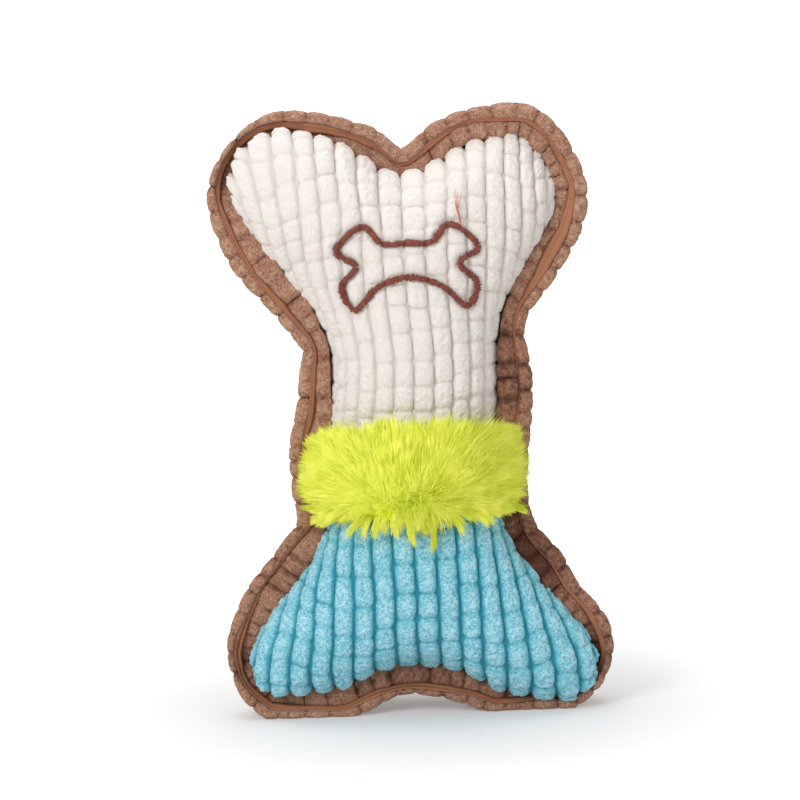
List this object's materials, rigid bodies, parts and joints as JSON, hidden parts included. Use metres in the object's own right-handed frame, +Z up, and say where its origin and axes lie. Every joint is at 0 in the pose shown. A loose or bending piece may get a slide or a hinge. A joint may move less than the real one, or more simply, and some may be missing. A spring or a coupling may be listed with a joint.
{
  "type": "squeaky dog toy",
  "caption": "Bone-shaped stuffed squeaky dog toy with corduroy front panels, a fur band at the waist, a standing brown rim and a reed squeaker inside.",
  "frame": {"origin": "on the floor, under the middle of the toy's box, as it stands on its two lower knobs", "axes": "+Z up along the bone, the decorated front faces -Y, +X to the viewer's right"},
  "size_m": [0.1404, 0.066, 0.2192],
  "materials": {
    "cream_corduroy": "soft cut pile in wales",
    "lime_fur": "long shaggy pile",
    "turquoise_corduroy": "soft cut pile in wales",
    "brown_corduroy": "soft cut pile in wales",
    "tan_backing": "smooth knit, cut edge",
    "sewing_thread": "twisted thread",
    "embroidery_thread": "glossy satin stitch",
    "polyester_fibre": "loose white fibre",
    "soft_plastic": "translucent, soft",
    "hard_plastic": "moulded, satin"
  },
  "bodies": {
    "stuffed_back": {"brown_back_panel": "brown_corduroy", "rim_backing_strip": "tan_backing", "rim_front_ply": "brown_corduroy", "rim_seam_thread": "sewing_thread", "fill_upper_left": "polyester_fibre", "fill_upper_right": "polyester_fibre", "fill_lower_left": "polyester_fibre", "fill_lower_right": "polyester_fibre", "fill_core_front": "polyester_fibre", "fill_core_back": "polyester_fibre", "squeaker_bulb": "soft_plastic", "squeaker_sleeve": "hard_plastic", "squeaker_reed_block": "hard_plastic", "squeaker_reed_wedge": "hard_plastic"},
    "front_cover": {"cream_front_panel": "cream_corduroy", "lime_fur_band": "lime_fur", "turquoise_front_panel": "turquoise_corduroy", "cream_fur_seam_thread": "sewing_thread", "fur_turquoise_seam_thread": "sewing_thread", "bone_embroidery": "embroidery_thread"},
    "reed": {"squeaker_reed": "soft_plastic"}
  },
  "joints": [
    {"name": "squeeze", "type": "slide", "parent": "stuffed_back", "child": "front_cover", "axis": [0, 1, 0], "range_m": [0, 0.01], "stiffness_N_per_m": 1500, "deforming": ["fill_upper_left", "fill_upper_right", "fill_lower_left", "fill_lower_right", "fill_core_front", "fill_core_back", "squeaker_bulb"]},
    {"name": "reed_flutter", "type": "hinge", "parent": "stuffed_back", "child": "reed", "pos_m": [0, 0.0174, 0.152], "axis": [1, 0, 0], "range_deg": [-4, 4], "stiffness_Nm_per_rad": 0.002}
  ]
}
